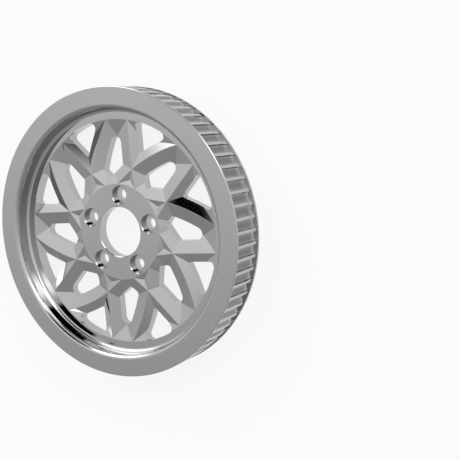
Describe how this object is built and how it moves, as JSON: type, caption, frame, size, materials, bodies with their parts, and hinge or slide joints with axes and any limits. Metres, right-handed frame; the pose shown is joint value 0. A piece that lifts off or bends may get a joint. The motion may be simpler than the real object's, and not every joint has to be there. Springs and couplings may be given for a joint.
{
  "type": "belt pulley",
  "caption": "Toothed belt pulley with a deep dished face, a faceted open lattice web and a flat hub with central bore and counterbored bolt holes, for a motorcycle rear wheel.",
  "frame": {"origin": "centre of the bore axis on the back plane of the rim, which is the lowest plane", "axes": "+Z along the bore, towards the dished show face; +X through one lattice crossing"},
  "size_m": [0.318, 0.318, 0.0475],
  "materials": {
    "polished_metal": "polished chrome on a machined aluminium body"
  },
  "bodies": {
    "root": {"pulley": "polished_metal"}
  },
  "joints": []
}
